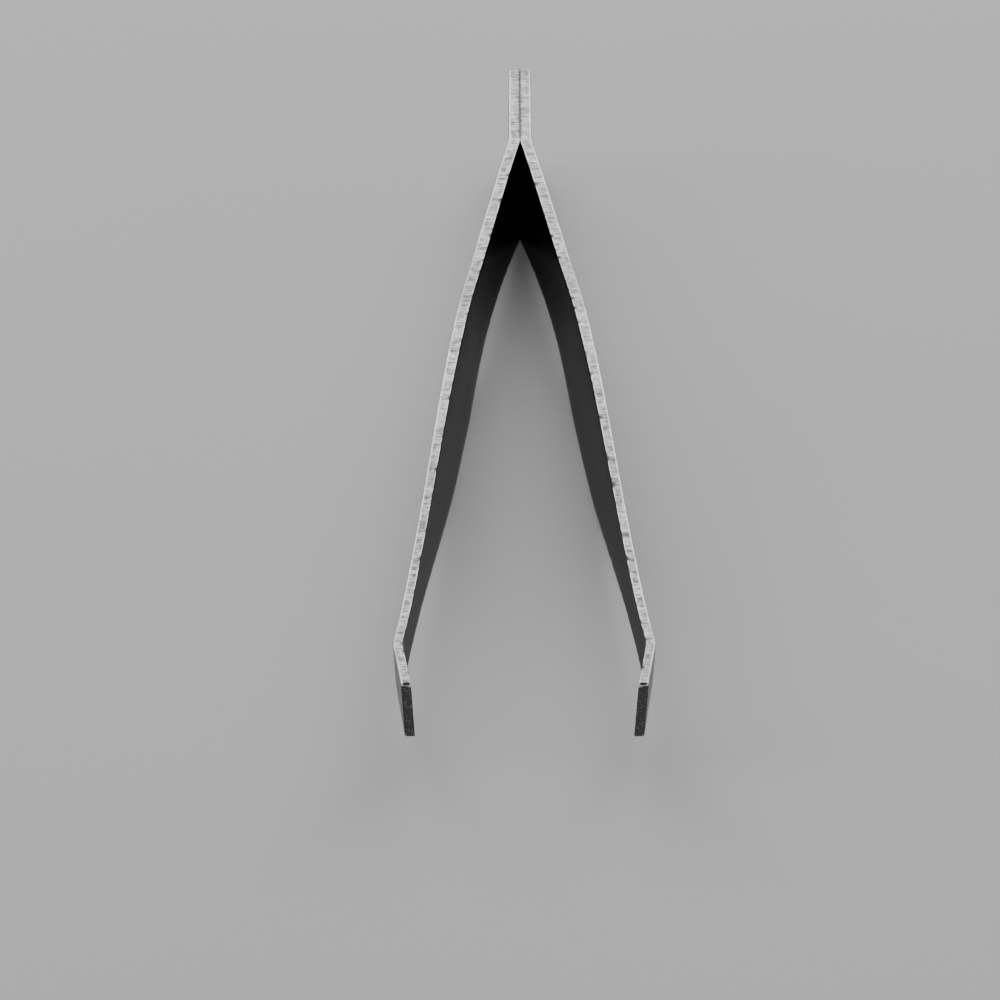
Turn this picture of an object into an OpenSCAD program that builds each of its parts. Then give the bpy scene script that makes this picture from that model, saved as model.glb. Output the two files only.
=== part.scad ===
// Slant tweezers: two spring steel arms, spot-welded face to face at the tail.
// Millimetres. +Z up, tips towards -Y, tail towards +Y. The tweezers stand on the
// lower edges of their grips and tail, and the origin is under the middle of the whole object.
// Distances called "from the tip" run along +Y from the long point of the tips.

/* [Overall] */
// Length from the long point of the tips to the tail end
overall_l = 95; // [85:1:120]
// Strip width at the finger grips, the widest place of each arm
grip_w = 8.2; // [7:0.1:12]
// Gap between the inner faces at the shoulders, at rest
arm_gap = 13.8; // [8:0.1:18]

/* [Strip thickness] */
// Thickness of the tail and of the flexing stretch
tail_t = 0.8; // [0.6:0.01:1.2]
// Thickness of the front, which is ground thinner
front_t = 0.58; // [0.4:0.01:0.8]
// Where the thin front ends, from the tip
front_t_to = 22; // [14:0.5:26]
// Length over which the strip grows to its full thickness
thinning_l = 36; // [20:1:40]

/* [Tail] */
// Length of the joined tail
stem_l = 13.6; // [11:0.1:20]
// Strip width at the tail end
tail_w = 8.2; // [6.5:0.1:12]
// Length of the tail's straight edge, at its end
tail_flat_l = 5; // [3:0.1:8]
// Length over which the waist widens to the tail
tail_taper_l = 24; // [14:0.5:26]
// Radius of the tail's two corners
tail_corner_r = 1.5; // [0.3:0.1:2.5]
// Radius of a weld nugget
nugget_r = 1.5; // [1:0.1:2]
// How far a weld nugget reaches into each arm
nugget_depth = 0.3; // [0.15:0.01:0.4]
// Distance from a nugget's centre to the nearer end of the tail
nugget_inset = 3.6; // [2.5:0.1:4.5]

/* [Spring curve] */
// Slope of each arm, in degrees, where the two arms part
root_angle = 8.2; // [6:0.1:10]
// Length of the bend where the arms part
root_bend_l = 1.5; // [1:0.1:4]
// Length over which each arm bows, from where the arms part
bow_l = 28; // [20:0.5:34]
// Length of the flexing stretch, from where the arms part
flexure_l = 24; // [16:0.5:28]

/* [Width of the strip] */
// Strip width at the waist, between the grips and the tail
waist_w = 6.2; // [4:0.1:6.9]
// Strip width at the neck, behind the shoulders
neck_w = 2.8; // [2:0.1:4]
// Middle of the neck, from the tip
neck_from_tip = 10.5; // [9:0.1:12]
// Front end of the straight grip edge, from the tip
grip_from_tip = 43.5; // [36:0.1:48]
// Length of the straight grip edge
grip_flat_l = 4; // [2:0.1:8]
// Length over which the grip narrows to the waist
waist_taper_l = 15.5; // [10:0.1:20]

/* [Slanted tips] */
// Slant of the tip edges and of the shoulder bends, from upright
slant = 25; // [15:0.5:35]
// Length of the tips from the bend to the tip edge
tip_l = 6.9; // [5:0.1:8]
// Inward bend of the tips, in degrees
tip_bend = 11.6; // [4:0.1:14]
// Inner radius of the shoulder bend
tip_bend_r = 6; // [0.5:0.1:8]
// How much each edge of the strip flares, per millimetre towards the tip
tip_flare = 0.105; // [0.02:0.005:0.2]
// Where the flare starts, from the tip
flare_from_tip = 9.4; // [8.5:0.1:11]
// Half the length over which the flare sets in
flare_ease = 2.5; // [1:0.1:3]

/* [Hidden] */
$fn = 48;

mid_z = max(grip_w, tail_w) / 2;            // height of the strips' centre line
apex_from_tip = overall_l - stem_l;         // where the two arms part
grip_end = grip_from_tip + grip_flat_l;     // back end of the straight grip edge
tail_flat_from = overall_l - tail_flat_l;   // front end of the tail's straight edge
front_half = neck_w / 2 + tip_flare * flare_from_tip;   // half width at the long point
bend_from_tip = front_half * tan(slant) + tip_l;        // shoulder bend at mid_z
bend_s = apex_from_tip - bend_from_tip;     // the same, from where the arms part
straight_s = apex_from_tip - front_t_to;    // from here on the strip is straight and thin
root_slope = tan(root_angle);

// Slope of the straight front that brings the inner face to arm_gap at the shoulder
front_slope = (arm_gap / 2 - root_slope * bow_l / 2)
    / ((bow_l - root_bend_l) / 2 + bend_s - bow_l);
front_angle = atan(front_slope);

bite = 1;             // how far cutting bodies reach past what they cut
sleeve = 1.6;         // from the bend back to where the upright strip takes over
corner_steps = 5;     // facets of a rounded corner of the outline
bend_steps = 6;       // facets of the shoulder bend
reach = 2 * tip_l;    // length of the tip before the side view trims it

function y_at(from_tip) = from_tip - overall_l / 2;
function ease(t) = let (c = max(0, min(1, t))) c * c * (3 - 2 * c);
// A ramp that starts at 0 with slope 1 after it, rounded over r to each side
function ramp(x, r) = x < -r ? 0 : x > r ? x : (x + r) * (x + r) / (4 * r);
function steps(a, b, n) = [for (i = [0 : n]) a + (b - a) * i / n];
function backwards(list) = [for (i = [len(list) - 1 : -1 : 0]) list[i]];

// Plan view of the right arm's inner face, at a distance s from where the arms part
function bow_drop(s) = let (b = max(0, min(s, bow_l) - root_bend_l))
    (root_slope - front_slope) / (bow_l - root_bend_l) * b;
function slope(s) = s < root_bend_l ? root_slope * ease(s / root_bend_l) : root_slope - bow_drop(s);
function inner_x(s) = let (t = s / root_bend_l, b = min(s, bow_l) - root_bend_l)
    s < root_bend_l ? root_slope * root_bend_l * (pow(t, 3) - pow(t, 4) / 2)
    : root_slope * root_bend_l / 2 + (root_slope + slope(s)) / 2 * b
      + (s > bow_l ? front_slope * (s - bow_l) : 0);
function inner(s) = [inner_x(s), y_at(apex_from_tip - s)];
function outward(s) = [1, slope(s)] / norm([1, slope(s)]);
function thickness(s) = let (from_tip = apex_from_tip - s)
    front_t + (tail_t - front_t) * ease((from_tip - front_t_to) / thinning_l);
function outer(s) = inner(s) + thickness(s) * outward(s);

// The shoulder's frame: x out of the right arm's straight front, y back along it
bend_point = inner(bend_s);
front_out = [cos(front_angle), sin(front_angle)];
front_back = [-sin(front_angle), cos(front_angle)];
function in_shoulder(p) = [(p - bend_point) * front_out, (p - bend_point) * front_back];

// Half the strip's width at a distance from the tip
function front_half_width(from_tip) = neck_w / 2
    + tip_flare * ramp(flare_from_tip - from_tip, flare_ease)
    + (grip_w - neck_w) / 2 * ease((from_tip - neck_from_tip) / (grip_from_tip - neck_from_tip));
function back_half_width(from_tip) = waist_w / 2
    + (grip_w - waist_w) / 2 * ease((grip_end + waist_taper_l - from_tip) / waist_taper_l)
    + (tail_w - waist_w) / 2 * ease((from_tip - tail_flat_from + tail_taper_l) / tail_taper_l);
function half_width(from_tip) =
    from_tip < grip_end ? front_half_width(from_tip) : back_half_width(from_tip);

outline_places = concat(
    steps(flare_from_tip - flare_ease, flare_from_tip + flare_ease, 5),
    steps(flare_from_tip + flare_ease + 2, grip_from_tip, 14),
    steps(grip_end, tail_flat_from, 22));

// The lower end of the tip edge, which lies back by the slant
low_point = 2 * front_half * tan(slant) / (1 + tip_flare * tan(slant));

function upper_edge() = [for (u = concat([0], outline_places)) [y_at(u), mid_z + half_width(u)]];
function lower_edge() = [for (u = concat([low_point], outline_places))
    [y_at(u), mid_z - half_width(u)]];
function tail_corner(up) = [for (i = [0 : corner_steps]) let (a = 90 * i / corner_steps)
    [y_at(overall_l) - tail_corner_r * (1 - sin(a)),
     mid_z + up * (tail_w / 2 - tail_corner_r * (1 - cos(a)))]];

// Side view of the arms, as a body right through both of them
module side_view() {
    rotate([90, 0, 90])
        linear_extrude(height = 2 * arm_gap, center = true)
            polygon(concat(upper_edge(), tail_corner(1), backwards(tail_corner(-1)),
                           backwards(lower_edge())));
}

// The right arm's strip between two places, upright, in the shoulder's frame
module upright_strip(places) {
    translate([0, 0, -bite])
        linear_extrude(height = 2 * (mid_z + bite))
            polygon(concat([for (s = places) in_shoulder(inner(s))],
                           backwards([for (s = places) in_shoulder(outer(s))])));
}

// One side of the bent tip at a depth into the strip, seen along the slanted bend
function bent_side(depth) = let (r = tip_bend_r + depth) concat(
    [[depth, sleeve + front_half]],
    [for (a = steps(0, tip_bend, bend_steps)) [r * cos(a) - tip_bend_r, -r * sin(a)]],
    [[r * cos(tip_bend) - tip_bend_r - reach * sin(tip_bend),
      -r * sin(tip_bend) - reach * cos(tip_bend)]]);

// The bent shoulder and the tip, in the shoulder's frame, along the slanted bend
module bent_tip() {
    long = 2 * mid_z + 4 * bite;
    translate([0, 0, mid_z])
        rotate([slant, 0, 0])
            translate([0, 0, -long / 2])
                linear_extrude(height = long)
                    polygon(concat(bent_side(0), backwards(bent_side(front_t))));
}

module in_place() {
    translate([bend_point[0], bend_point[1], 0])
        rotate([0, 0, front_angle])
            children();
}

// Weld nugget across the joint face, at a place from the tip
module nugget(from_tip) {
    translate([0, y_at(from_tip), mid_z])
        rotate([0, 90, 0])
            cylinder(r = nugget_r, h = 2 * nugget_depth, center = true);
}

module right_tail_shape() {
    difference() {
        intersection() {
            translate([0, y_at(apex_from_tip), -bite])
                cube([tail_t, stem_l, 2 * (mid_z + bite)]);
            side_view();
        }
        nugget(apex_from_tip + nugget_inset);
        nugget(overall_l - nugget_inset);
    }
}

module right_flexure_shape() {
    intersection() {
        in_place()
            upright_strip(concat(steps(0, root_bend_l, 4),
                                 steps(root_bend_l + 2, flexure_l, 10)));
        side_view();
    }
}

module right_blade_shape() {
    intersection() {
        in_place() {
            upright_strip(concat(steps(flexure_l, straight_s, 14), [bend_s - sleeve]));
            bent_tip();
        }
        side_view();
    }
}

module left_tail() { color("silver") mirror([1, 0, 0]) right_tail_shape(); }
module right_tail() { color("silver") right_tail_shape(); }
module weld_nugget_front() { color("dimgray") nugget(apex_from_tip + nugget_inset); }
module weld_nugget_rear() { color("dimgray") nugget(overall_l - nugget_inset); }
module left_flexure() { color("lightsteelblue") mirror([1, 0, 0]) right_flexure_shape(); }
module right_flexure() { color("lightsteelblue") right_flexure_shape(); }
module left_blade() { color("lightgray") mirror([1, 0, 0]) right_blade_shape(); }
module right_blade() { color("lightgray") right_blade_shape(); }

left_tail();
right_tail();
weld_nugget_front();
weld_nugget_rear();
left_flexure();
right_flexure();
left_blade();
right_blade();
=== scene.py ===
"""Looks of the slant tweezers: two polished spring steel arms, welded face to face at the tail.

The CAD part has each arm in three stretches: a fixed tail, a flexing stretch and a stiff blade. Here each
arm is one piece of rolled strip, as the real one is.
Lengths are in millimetres up to the mesh, which is in metres, in the CAD frame.
"""
import math

import bmesh
import bpy
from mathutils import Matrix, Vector, noise


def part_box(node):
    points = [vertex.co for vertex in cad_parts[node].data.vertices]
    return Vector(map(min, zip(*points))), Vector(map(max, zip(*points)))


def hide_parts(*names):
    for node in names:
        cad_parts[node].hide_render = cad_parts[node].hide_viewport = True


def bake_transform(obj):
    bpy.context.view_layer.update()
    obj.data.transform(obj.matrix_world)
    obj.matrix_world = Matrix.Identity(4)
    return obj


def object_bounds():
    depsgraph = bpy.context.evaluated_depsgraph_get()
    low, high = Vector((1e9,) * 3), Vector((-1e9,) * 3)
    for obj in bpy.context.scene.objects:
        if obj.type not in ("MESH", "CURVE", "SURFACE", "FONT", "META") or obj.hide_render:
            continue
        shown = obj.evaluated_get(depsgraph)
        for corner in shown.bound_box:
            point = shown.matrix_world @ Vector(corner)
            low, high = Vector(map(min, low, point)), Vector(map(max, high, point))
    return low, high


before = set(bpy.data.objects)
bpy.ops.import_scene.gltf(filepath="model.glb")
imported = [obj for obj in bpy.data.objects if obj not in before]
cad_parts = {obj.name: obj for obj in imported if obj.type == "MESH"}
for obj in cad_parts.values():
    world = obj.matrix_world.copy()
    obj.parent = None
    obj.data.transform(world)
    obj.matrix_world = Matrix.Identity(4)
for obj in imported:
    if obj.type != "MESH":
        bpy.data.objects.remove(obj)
cad_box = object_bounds()

# ---------------------------------------------------------------- sizes taken from the frame

MM = 0.001
TAIL_LO, TAIL_HI = (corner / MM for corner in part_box("right_tail"))
TIP_Y = cad_box[0].y / MM               # the long point of the tips
END_Y = cad_box[1].y / MM               # the tail end
OVERALL_L = END_Y - TIP_Y
MID_Z = (TAIL_LO.z + TAIL_HI.z) / 2     # height of the strips' centre line
GRIP_W = cad_box[1].z / MM
TAIL_W = TAIL_HI.z - TAIL_LO.z
TAIL_T = TAIL_HI.x
APEX = TAIL_LO.y - TIP_Y                # where the arms part, from the tip

# ---------------------------------------------------------------- sizes that the boxes don't show

FRONT_T = 0.58          # strip thickness at the front
FRONT_T_TO = 22.0       # where the thin front ends, from the tip
THINNING_L = 36.0       # length over which the strip grows to TAIL_T
TAIL_FLAT_L = 5.0       # straight edge at the tail end
TAIL_TAPER_L = 24.0     # from the waist to the tail
TAIL_CORNER_R = 1.5     # rounding of the tail's two corners
ROOT_SLOPE = math.tan(math.radians(8.2))    # of the inner face in plan, just in front of the root bend
ROOT_BEND_L = 1.5       # bend where the arms part
BOW_L = 28.0            # bowed stretch
ARM_GAP = 13.8          # between the inner faces at the shoulders
WAIST_W = 6.2           # strip width between the tail and the grip
NECK_W = 2.8            # strip width behind the tip
NECK = 10.5             # middle of the neck, from the tip
GRIP = 43.5             # front end of the straight grip edge, from the tip
GRIP_END = 47.5         # its back end
WAIST_TAPER_L = 15.5    # from the grip to the waist
SLANT = math.radians(25)
TIP_L = 6.9             # from the shoulder bend to the tip edge
TIP_BEND = math.radians(11.6)
TIP_BEND_R = 6.0        # inner radius of the shoulder bend
TIP_FLARE = 0.105       # flare of each edge towards the tip
FLARE_FROM = 9.4        # where the flare starts, from the tip
FLARE_EASE = 2.5        # length over which it begins, to each side

ROLL_R = 0.1            # border rounded by the shearing die, on the outer face
BURR_R = 0.045          # sharper border on the inner face
BURR_BITE = {"right": 0.14, "left": 0.09}    # how far the ragged burr is broken away
BURR_EASE = 8.0         # how far from the joint the burr is ragged in full
BURR_TIP_EASE = 2.5     # the same from the tip edge
BURR_WAVES = ((1.5, 0.7, 0), (1.5, 1.6, 5))     # strength, waves per millimetre, place in the noise
SEAM_SHADE = -0.5       # painted shade of the burr's border in the joint, where 1 is the border's painted highlight and -1 black
END_R = 0.09            # rounding of the tail's end face
TIP_EDGE_R = 0.035      # rounding of the ground tip edge
TIP_CORNER_R = 0.14     # rounding of the tip edge's two corners
TIP_GLINT_REACH = 0.2        # how far the painted glint at the tip's upper corner reaches along the borders
PAINTED_CORNER_GLINT = 2.0      # strength of that painted glint, as a border value
JOINT_CLEARANCE = 0.003  # half the hairline between the welded tails

# ---------------------------------------------------------------- shape of the strip

FRONT_HALF = NECK_W / 2 + TIP_FLARE * FLARE_FROM        # half width at the long point
TIP_EDGE = FRONT_HALF * math.tan(SLANT)                 # the tip edge at mid height, from the tip
BEND = TIP_EDGE + TIP_L                                 # the shoulder bend at mid height
FRONT_SLOPE = (ARM_GAP / 2 - ROOT_SLOPE * BOW_L / 2) / ((BOW_L - ROOT_BEND_L) / 2 + APEX - BEND - BOW_L)
FRONT_ANGLE = math.atan(FRONT_SLOPE)                    # of the straight stretch behind the shoulder bend


def clamp(value, low, high):
    return max(low, min(high, value))


def ease(t):
    t = clamp(t, 0, 1)
    return t * t * (3 - 2 * t)


def ramp(x, r):
    """0 before, slope 1 after, rounded over r to each side."""
    return 0 if x < -r else x if x > r else (x + r) ** 2 / (4 * r)


def slope(s):
    """Slope of the inner face in plan, at a distance s from where the arms part."""
    if s < ROOT_BEND_L:
        return ROOT_SLOPE * ease(s / ROOT_BEND_L)
    return ROOT_SLOPE - (ROOT_SLOPE - FRONT_SLOPE) / (BOW_L - ROOT_BEND_L) * (min(s, BOW_L) - ROOT_BEND_L)


def inner_x(s):
    """Distance of the right arm's inner face from the joint plane."""
    if s <= 0:
        return 0.0
    if s < ROOT_BEND_L:
        t = s / ROOT_BEND_L
        return ROOT_SLOPE * ROOT_BEND_L * (t ** 3 - t ** 4 / 2)
    bowed = (ROOT_SLOPE + slope(s)) / 2 * (min(s, BOW_L) - ROOT_BEND_L)
    return ROOT_SLOPE * ROOT_BEND_L / 2 + bowed + FRONT_SLOPE * max(0, s - BOW_L)


def thickness(from_tip):
    return FRONT_T + (TAIL_T - FRONT_T) * ease((from_tip - FRONT_T_TO) / THINNING_L)


def half_width(from_tip):
    if from_tip < GRIP_END:
        return (NECK_W / 2 + TIP_FLARE * ramp(FLARE_FROM - from_tip, FLARE_EASE)
                + (GRIP_W - NECK_W) / 2 * ease((from_tip - NECK) / (GRIP - NECK)))
    to_grip = ease((GRIP_END + WAIST_TAPER_L - from_tip) / WAIST_TAPER_L)
    to_tail = ease((from_tip - OVERALL_L + TAIL_FLAT_L + TAIL_TAPER_L) / TAIL_TAPER_L)
    width = WAIST_W / 2 + (GRIP_W - WAIST_W) / 2 * to_grip + (TAIL_W - WAIST_W) / 2 * to_tail
    into_corner = clamp(from_tip - (OVERALL_L - TAIL_CORNER_R), 0, TAIL_CORNER_R)
    return width - TAIL_CORNER_R + math.sqrt(TAIL_CORNER_R ** 2 - into_corner ** 2)


def upright_point(from_tip, depth, height_at):
    """A point of the straight or bowed strip, depth into it from its inner face."""
    s = APEX - from_tip
    lean = slope(max(s, 0))
    across = depth / math.hypot(1, lean)
    y = TIP_Y + from_tip + across * lean
    return Vector((inner_x(s) + across, y, height_at(y - TIP_Y)))


def depth_at(x, y, z):
    """Depth of a point into the front of the strip, from its inner face, bent shoulder and tip included."""
    dx = x - inner_x(APEX - BEND)
    dy = y - (TIP_Y + BEND)
    out = dx * math.cos(FRONT_ANGLE) + dy * math.sin(FRONT_ANGLE)
    back = -dx * math.sin(FRONT_ANGLE) + dy * math.cos(FRONT_ANGLE)
    along = back * math.cos(SLANT) + (z - MID_Z) * math.sin(SLANT)
    if along >= 0:
        return out
    radial = out + TIP_BEND_R
    if math.atan2(-along, radial) < TIP_BEND:
        return math.hypot(radial, along) - TIP_BEND_R
    return radial * math.cos(TIP_BEND) - along * math.sin(TIP_BEND) - TIP_BEND_R


def front_point(from_tip, lean, depth, height_at):
    """The same for the front, on a line through from_tip at mid height that leans in the side view."""
    z = MID_Z
    for _ in range(HEIGHT_ROUNDS):
        z = height_at(from_tip - lean * (z - MID_Z))
    y = TIP_Y + from_tip - lean * (z - MID_Z)
    x = inner_x(APEX - from_tip) + depth
    for _ in range(DEPTH_ROUNDS):
        x += depth - depth_at(x, y, z)
    return Vector((x, y, z))


# ---------------------------------------------------------------- mesh of one arm

FACE, EDGE, TIP_END = range(3)      # material slots of an arm
FACE_ROWS = 12
EDGE_ROWS = 6
CORNER_ROWS = 4

END_STEPS = 5           # rings on the rounding of the tail's end face
TAIL_CORNER_STEPS = 9
TAIL_STEPS = 24
ROOT_STEPS = 18
ARM_STEPS = 230
FRONT_STEPS = 36
SHOULDER_STEPS = 22
TIP_STEPS = 18
TIP_CORNER_STEPS = 12
TIP_EDGE_STEPS = 4
ROOT_BACK = 0.3         # the root's fine rings start this far behind the place where the arms part
SHOULDER_BACK = 0.4     # the shoulder's fine rings reach this far behind the bend
SHOULDER_FRONT = 0.5    # and this far in front of it
LEAN_MARGIN = 1.0       # the rings lean in full this far behind the bend
HEIGHT_ROUNDS = 5       # rounds that bring a leaning point to its edge's height
DEPTH_ROUNDS = 8        # rounds that bring a point to its depth in the bent tip

NOT_INNER = 99.0        # put on the tip distance outside the inner face, which keeps the ground zone off it
ARM_SHIFT = 40.0        # between the two arms' places in the noises


def section(t, burr_r):
    """Points round the strip: (depth, share of the half width, drop from the edge, border, region after it).

    Border is 1 on the rolled borders of the outer face, -1 on the burred borders of the inner face, else 0.
    """
    points = []
    arc = [math.radians(90 * i / CORNER_ROWS) for i in range(CORNER_ROWS + 1)]
    for up in (1, -1):
        first_r, last_r = (burr_r, ROLL_R) if up > 0 else (ROLL_R, burr_r)
        start, turn = (0, 1) if up > 0 else (t, -1)
        first, last = -up, up
        for i in range(FACE_ROWS):
            points.append((start, up * (2 * i / FACE_ROWS - 1), first_r, 0, FACE))
        for a in arc[:-1]:
            depth = start + turn * first_r * (1 - math.cos(a))
            points.append((depth, up, first_r * (1 - math.sin(a)), first, EDGE))
        flat = t - first_r - last_r
        for i in range(EDGE_ROWS):
            depth = start + turn * (first_r + flat * i / EDGE_ROWS)
            points.append((depth, up, 0, 0 if i else first, EDGE))
        for a in arc[:-1]:
            depth = t - start - turn * last_r * (1 - math.sin(a))
            points.append((depth, up, last_r * (1 - math.cos(a)), last, EDGE))
    return points


def end_inset(distance, r):
    """How far a rounded end has drawn in at a distance from it."""
    return 0 if distance >= r else r - math.sqrt(r * r - (r - distance) ** 2)


def spread(a, b, count):
    return [a + (b - a) * i / count for i in range(count)]


def rounded_end(r, count):
    """Distances from an end that follow its rounding evenly, the end itself first."""
    return [r * (1 - math.cos(math.radians(90 * i / count))) for i in range(count)]


def stations():
    """Rings from the tail end to the tip edge: (place from the tip at mid height, lean, end rounding)."""
    full_lean = math.tan(SLANT)
    into_corner = rounded_end(TAIL_CORNER_R - END_R, TAIL_CORNER_STEPS)
    tail = rounded_end(END_R, END_STEPS) + [END_R + d for d in into_corner]
    found = [(OVERALL_L - d, 0, end_inset(d, END_R)) for d in tail]
    places = (spread(OVERALL_L - TAIL_CORNER_R, APEX + ROOT_BACK, TAIL_STEPS)
              + spread(APEX + ROOT_BACK, APEX - ROOT_BEND_L, ROOT_STEPS)
              + spread(APEX - ROOT_BEND_L, FRONT_T_TO, ARM_STEPS))
    found += [(u, 0, 0) for u in places]
    places = (spread(FRONT_T_TO, BEND + SHOULDER_BACK, FRONT_STEPS)
              + spread(BEND + SHOULDER_BACK, BEND - SHOULDER_FRONT, SHOULDER_STEPS))
    for u in places:
        found.append((u, full_lean * ease((FRONT_T_TO - u) / (FRONT_T_TO - BEND - LEAN_MARGIN)), 0))
    for u in spread(BEND - SHOULDER_FRONT, TIP_EDGE + 2 * TIP_CORNER_R, TIP_STEPS):
        found.append((u, full_lean, 0))
    tip = spread(2 * TIP_CORNER_R, TIP_EDGE_R, TIP_CORNER_STEPS)
    tip += rounded_end(TIP_EDGE_R, TIP_EDGE_STEPS)[::-1]
    for d in tip:
        found.append((TIP_EDGE + d, full_lean, end_inset(d, TIP_EDGE_R)))
    return found


def burr_bite(from_tip, seed):
    """How much of the burr is broken away at a place, from 0 to 1."""
    wander = sum(strength * noise.noise(Vector((from_tip * per_mm, seed, layer)))
                 for strength, per_mm, layer in BURR_WAVES)
    clear_of_joint = ease((APEX - from_tip) / BURR_EASE)
    clear_of_tip = ease((from_tip - TIP_EDGE) / BURR_TIP_EASE)
    return clamp(wander, 0, 1) * clear_of_joint * clear_of_tip


def burr_state(from_tip, name, seed):
    """Radius of the burr's border at a place, and its painted shade."""
    bite = burr_bite(from_tip, seed)
    in_seam = ease(1 - (APEX - from_tip) / ROOT_BEND_L)
    # painted shade: the burr's border darkens where the burr is broken away and in the joint
    shade = (1 - 2 * bite) * (1 - in_seam) + SEAM_SHADE * in_seam
    return BURR_R + BURR_BITE[name] * bite, shade


def border_shade(border, share, from_tip, burr_shade):
    """The border value of a point, painted light: 0 off the borders, 1 a painted highlight, 2 a painted glint
    at the tip's upper corner.

    It goes down to -1, a painted shade, where the burr is broken away, and is painted dark in the joint too.
    """
    # painted glint on both borders at the tip's upper corner
    if share > 0 and from_tip < TIP_EDGE + TIP_GLINT_REACH:
        return PAINTED_CORNER_GLINT * abs(border)
    return border if border > 0 else -border * burr_shade


def rings_of_points(name, seed):
    """The rings of one arm, each a list of (point in millimetres, depth in the strip, painted highlight or
    shade of its border).
    """
    for from_tip, lean, inset in stations():
        t = thickness(from_tip)
        burr_r, burr_shade = burr_state(from_tip, name, seed)
        corner = end_inset((from_tip - TIP_EDGE) * math.cos(SLANT), TIP_CORNER_R)
        ring = []
        for depth, share, drop, border, _ in section(t, burr_r):
            depth = inset + depth * (t - 2 * inset) / t
            drop += inset + corner

            def height_at(u, share=share, drop=drop):
                return MID_Z + share * (half_width(u) - drop)

            if from_tip > FRONT_T_TO:
                p = upright_point(from_tip, depth, height_at)
            else:
                p = front_point(from_tip, lean, depth, height_at)
            ring.append((p, depth, border_shade(border, share, from_tip, burr_shade)))
        yield ring


def arm_mesh(name, side, seed):
    """One arm, right for side 1 and left for side -1. The seed sets its place in the noises.

    Three attributes tell the materials where a point is: strip_place is its place on the strip, the border
    attribute the painted highlight or shade of a border, and tip_distance how far the inner face has come
    from the tip edge.
    """
    bm = bmesh.new()
    strip_place = bm.verts.layers.float_vector.new("strip_place")
    # painted highlight and shade of the borders, for the edge and tip materials
    painted_border_light = bm.verts.layers.float.new("painted_border_light")
    tip_distance = bm.verts.layers.float.new("tip_distance")
    rings = []
    for points in rings_of_points(name, seed):
        ring = []
        for p, depth, shade in points:
            x = max(p.x, JOINT_CLEARANCE)
            from_tip = p.y - TIP_Y
            tip_here = (FRONT_HALF + MID_Z - p.z) * math.tan(SLANT)
            vert = bm.verts.new((side * x * MM, p.y * MM, p.z * MM))
            vert[strip_place] = (from_tip, p.z + ARM_SHIFT * seed, depth)
            vert[painted_border_light] = shade
            vert[tip_distance] = from_tip - tip_here + NOT_INNER * (depth > 0)
            ring.append(vert)
        rings.append(ring)
    regions = [region for *_, region in section(FRONT_T, BURR_R)]
    count = len(regions)
    for ring, following in zip(rings, rings[1:]):
        for i, region in enumerate(regions):
            j = (i + 1) % count
            face = bm.faces.new((ring[i], ring[j], following[j], following[i]))
            face.material_index = region
    close_end(bm, rings[0], EDGE)
    close_end(bm, rings[-1], TIP_END)
    rounding = [f for ring in rings[-TIP_EDGE_STEPS - 1:-1] for v in ring for f in v.link_faces]
    for face in rounding:
        face.material_index = TIP_END
    bmesh.ops.recalc_face_normals(bm, faces=bm.faces)
    for face in bm.faces:
        face.smooth = True
    mesh = bpy.data.meshes.new(name + "_arm_strip")
    bm.to_mesh(mesh)
    bm.free()
    obj = bpy.data.objects.new(mesh.name, mesh)
    bpy.context.scene.collection.objects.link(obj)
    return obj


def close_end(bm, ring, region):
    """Closes an end with rows of quads between the inner and the outer face, and a face along each edge."""
    half = len(ring) // 2
    inner = ring[: FACE_ROWS + 1]
    outer = ring[half: half + FACE_ROWS + 1][::-1]
    faces = [(inner[i], inner[i + 1], outer[i + 1], outer[i]) for i in range(FACE_ROWS)]
    faces += [ring[FACE_ROWS: half + 1], ring[half + FACE_ROWS:] + ring[:1]]
    for corners in faces:
        bm.faces.new(corners).material_index = region


# ---------------------------------------------------------------- materials

MICRON = 0.000001       # in metres, as the relief of the surfaces is


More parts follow.
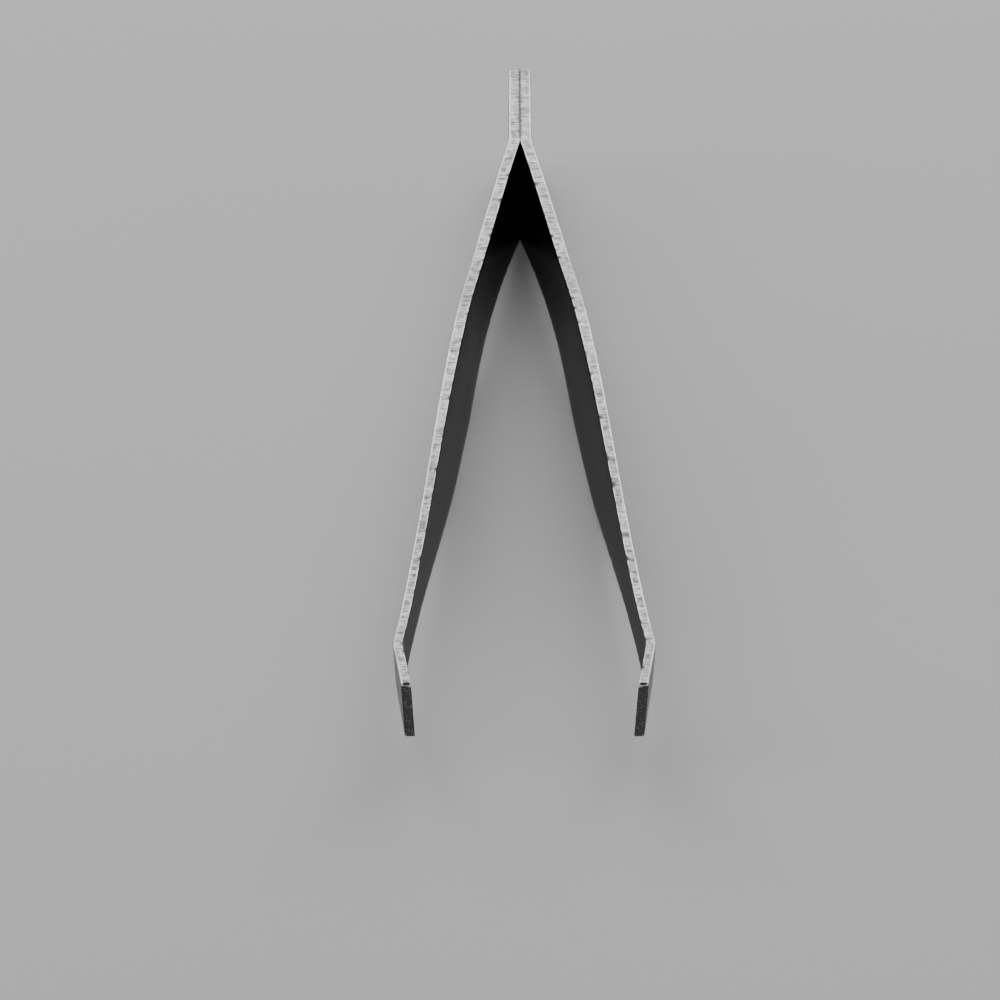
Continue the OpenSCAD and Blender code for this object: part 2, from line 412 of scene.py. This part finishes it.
class Paint:
    """A material's node tree, with short calls for the nodes that the surfaces share."""

    def __init__(self, name, metallic):
        self.material = bpy.data.materials.new(name)
        self.material.use_nodes = True
        self.tree = self.material.node_tree
        self.shader = self.tree.nodes["Principled BSDF"]
        self.shader.inputs["Metallic"].default_value = metallic

    def node(self, kind, **values):
        made = self.tree.nodes.new(kind)
        for key, value in values.items():
            setattr(made, key, value)
        return made

    def link(self, source, target):
        self.tree.links.new(source, target)

    def place(self, scale):
        """The place on the flat strip, in millimetres (along, height, depth), scaled for each direction."""
        attribute = self.node("ShaderNodeAttribute", attribute_name="strip_place")
        mapping = self.node("ShaderNodeMapping")
        mapping.inputs["Scale"].default_value = scale
        self.link(attribute.outputs["Vector"], mapping.inputs["Vector"])
        return mapping.outputs["Vector"]

    def object_place(self, scale):
        """The same for a piece that is not strip: object coordinates, in metres, scaled alike all round."""
        coordinates = self.node("ShaderNodeTexCoord")
        mapping = self.node("ShaderNodeMapping")
        mapping.inputs["Scale"].default_value = (scale, scale, scale)
        self.link(coordinates.outputs["Object"], mapping.inputs["Vector"])
        return mapping.outputs["Vector"]

    def noise(self, vector, detail, roughness=0.5):
        made = self.node("ShaderNodeTexNoise")
        made.inputs["Scale"].default_value = 1
        made.inputs["Detail"].default_value = detail
        made.inputs["Roughness"].default_value = roughness
        self.link(vector, made.inputs["Vector"])
        return made.outputs["Fac"]

    def remap(self, value, from_low, from_high, to_low, to_high):
        made = self.node("ShaderNodeMapRange")
        self.link(value, made.inputs["Value"])
        made.inputs["From Min"].default_value = from_low
        made.inputs["From Max"].default_value = from_high
        made.inputs["To Min"].default_value = to_low
        made.inputs["To Max"].default_value = to_high
        return made.outputs["Result"]

    def math(self, operation, first, second):
        made = self.node("ShaderNodeMath", operation=operation)
        for socket, value in zip(made.inputs, (first, second)):
            if isinstance(value, (int, float)):
                socket.default_value = value
            else:
                self.link(value, socket)
        return made.outputs["Value"]

    def attribute(self, name):
        return self.node("ShaderNodeAttribute", attribute_name=name).outputs["Fac"]

    def colour(self, value, dark, light):
        made = self.node("ShaderNodeMix", data_type="RGBA")
        made.inputs["A"].default_value = (*dark, 1)
        made.inputs["B"].default_value = (*light, 1)
        self.link(value, made.inputs["Factor"])
        self.link(made.outputs["Result"], self.shader.inputs["Base Color"])

    def roughness(self, value):
        self.link(value, self.shader.inputs["Roughness"])

    def bump(self, height, distance, after=None):
        """Adds relief, distance in metres, and returns its normal. after is a normal that it builds on."""
        made = self.node("ShaderNodeBump")
        made.inputs["Distance"].default_value = distance
        self.link(height, made.inputs["Height"])
        if after:
            self.link(after, made.inputs["Normal"])
        self.link(made.outputs["Normal"], self.shader.inputs["Normal"])
        return made.outputs["Normal"]


EDGE_ON_TINT = (0.05, 0.05, 0.055, 1)   # painted reflection: a face seen nearly edge on is tinted dark as if it mirrored a dark studio
GROUND_ZONE = (1.3, 1.6)                # the inner face is ground to here, from the tip edge, and fades out


def polished_face():
    """The strip's two faces: polished, with lengthwise lines, light scratches and ground tips."""
    paint = Paint("polished_steel", metallic=1)
    paint.shader.inputs["Specular Tint"].default_value = EDGE_ON_TINT
    lines = paint.noise(paint.place((0.09, 11, 11)), detail=3, roughness=0.6)
    streaks = paint.noise(paint.place((0.03, 2.2, 2.2)), detail=3, roughness=0.6)
    scratches = paint.noise(paint.place((0.3, 6, 6)), detail=4, roughness=0.7)
    scratches = paint.remap(scratches, 0.68, 0.71, 0, 1)
    grind = paint.noise(paint.place((16, 0.5, 0.5)), detail=3, roughness=0.6)
    ground = paint.remap(paint.attribute("tip_distance"), *GROUND_ZONE, 1, 0)
    brushed = paint.math("MULTIPLY", paint.math("ADD", lines, streaks), 0.5)
    paint.colour(paint.remap(brushed, 0.36, 0.64, 0, 1), dark=(0.52, 0.525, 0.535), light=(0.68, 0.685, 0.69))
    satin = paint.remap(brushed, 0.35, 0.65, 0.1, 0.22)
    satin = paint.math("ADD", satin, paint.math("MULTIPLY", scratches, 0.08))
    paint.roughness(paint.math("ADD", satin, paint.math("MULTIPLY", ground, 0.12)))
    polished = paint.bump(brushed, 4 * MICRON)
    scratched = paint.bump(scratches, MICRON, after=polished)
    paint.bump(paint.math("MULTIPLY", grind, ground), 4 * MICRON, after=scratched)
    return paint.material


def sheared_edge():
    """The edges as the shearing die and tumbling left them: grained across, with painted highlights on the
    rounded borders and painted shade where the burr is broken away.
    """
    paint = Paint("sheared_steel", metallic=1)
    grain = paint.noise(paint.place((4.5, 4.5, 1.2)), detail=3, roughness=0.65)
    coarse = paint.noise(paint.place((1.2, 1.2, 3)), detail=3, roughness=0.6)
    both = paint.math("ADD", paint.math("MULTIPLY", grain, 0.65), paint.math("MULTIPLY", coarse, 0.35))
    mottle = paint.remap(both, 0.4, 0.6, 0, 0.85)
    border = paint.attribute("painted_border_light")
    # painted highlight: the rounded borders are lighter, broken up by noise, and lighter still as a painted
    # glint at the tip's upper corner
    painted_border_highlight = paint.math("MULTIPLY", border, paint.remap(coarse, 0.3, 0.6, 0.6, 1))
    # painted shade: the burr's border is darker where the burr is broken away and in the joint
    broken = paint.math("MINIMUM", border, 0)
    light = paint.math("ADD", paint.math("MAXIMUM", mottle, painted_border_highlight), broken)
    paint.colour(paint.math("MULTIPLY", light, 0.5), dark=(0.12, 0.12, 0.118), light=(1, 1, 0.99))
    matte = paint.remap(grain, 0.3, 0.7, 0.5, 0.38)
    paint.roughness(paint.math("SUBTRACT", matte, paint.math("MULTIPLY", border, 0.14)))
    fine = paint.bump(grain, 40 * MICRON)
    paint.bump(coarse, 30 * MICRON, after=fine)
    return paint.material


def ground_tip_end():
    """The slanted tip edge: ground across, painted near black for the dark reflection it shows, with painted
    glints as bright dots and at the upper corner.
    """
    paint = Paint("ground_steel", metallic=1)
    scores = paint.noise(paint.place((1, 9, 1.5)), detail=3, roughness=0.6)
    # painted glints: bright dots where scratches would catch the light
    specks = paint.remap(paint.noise(paint.place((14, 14, 14)), detail=2, roughness=0.6), 0.6, 0.72, 0, 0.6)
    # painted glint at the tip's upper corner, read from the border values
    tip_corner_glint = paint.remap(paint.attribute("painted_border_light"), 0.8, 1.8, 0, 1)
    # painted shade: the near-black base stands in for the dark reflection of the slanted end
    paint.colour(paint.math("MAXIMUM", specks, tip_corner_glint), dark=(0.07, 0.07, 0.075), light=(1, 1, 0.98))
    paint.roughness(paint.remap(scores, 0.3, 0.7, 0.2, 0.36))
    paint.bump(scores, 12 * MICRON)
    return paint.material


def weld_metal():
    """The fused metal of a weld nugget, cast and duller than the strip."""
    paint = Paint("weld_steel", metallic=1)
    grain = paint.noise(paint.object_place(6000), detail=4, roughness=0.6)
    paint.colour(paint.remap(grain, 0.35, 0.65, 0, 1), dark=(0.34, 0.34, 0.35), light=(0.5, 0.49, 0.48))
    paint.roughness(paint.remap(grain, 0.3, 0.7, 0.35, 0.55))
    paint.bump(grain, 20 * MICRON)
    return paint.material


# ---------------------------------------------------------------- pieces

arm_materials = [polished_face(), sheared_edge(), ground_tip_end()]


def build_arm(name, side, seed):
    arm = arm_mesh(name, side, seed)
    for material in arm_materials:
        arm.data.materials.append(material)
    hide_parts(name + "_tail", name + "_flexure", name + "_blade")
    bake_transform(arm)


build_arm("right", side=1, seed=1)
build_arm("left", side=-1, seed=2)

weld = weld_metal()
for nugget in ("weld_nugget_front", "weld_nugget_rear"):
    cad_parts[nugget].data.materials.clear()
    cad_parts[nugget].data.materials.append(weld)

# ---------------------------------------------------------------- floor, light and camera


def floor():
    bpy.ops.mesh.primitive_plane_add(size=6)
    plane = bpy.context.object
    plane.name = "floor"
    paint = Paint("pale_floor", metallic=0)
    paint.shader.inputs["Roughness"].default_value = 0.65
    tone = paint.noise(paint.object_place(9), detail=2)
    paint.colour(paint.remap(tone, 0.3, 0.7, 0, 1), dark=(0.55, 0.55, 0.555), light=(0.57, 0.57, 0.575))
    plane.data.materials.append(paint.material)


def softbox(name, place, size, power):
    """A rectangular lamp that faces the origin."""
    light = bpy.data.lights.new(name, "AREA")
    light.shape = "RECTANGLE"
    light.size, light.size_y = size
    light.energy = power
    lamp = bpy.data.objects.new(name, light)
    lamp.location = place
    lamp.rotation_euler = (Vector((0, 0, 0)) - Vector(place)).to_track_quat("-Z", "Y").to_euler()
    bpy.context.scene.collection.objects.link(lamp)


def surroundings(brightness):
    world = bpy.data.worlds.new("studio")
    world.use_nodes = True
    world.node_tree.nodes["Background"].inputs["Color"].default_value = (1, 1, 1, 1)
    world.node_tree.nodes["Background"].inputs["Strength"].default_value = brightness
    bpy.context.scene.world = world


VIEW_PITCH = math.radians(25)       # how far down the camera looks
VIEW_DISTANCE = 0.3474              # from the point that it looks at, in metres
VIEW_AIM = Vector((-0.0014, -0.0092, 0))
VIEW_LENS = 198                     # millimetres


def camera():
    data = bpy.data.cameras.new("camera")
    data.lens = VIEW_LENS
    cam = bpy.data.objects.new("camera", data)
    back = Vector((0, -math.cos(VIEW_PITCH), math.sin(VIEW_PITCH)))
    cam.location = VIEW_AIM + back * VIEW_DISTANCE
    cam.rotation_euler = (math.pi / 2 - VIEW_PITCH, 0, 0)
    bpy.context.scene.collection.objects.link(cam)
    bpy.context.scene.camera = cam


floor()
softbox("overhead", place=(0, 0.1, 0.7), size=(0.8, 0.8), power=1.6)
softbox("back_fill", place=(0, 0.8, 0.45), size=(1.2, 0.4), power=6)
softbox("side_fill", place=(-0.7, -0.1, 0.35), size=(0.4, 0.4), power=0.8)
surroundings(brightness=0.32)
camera()
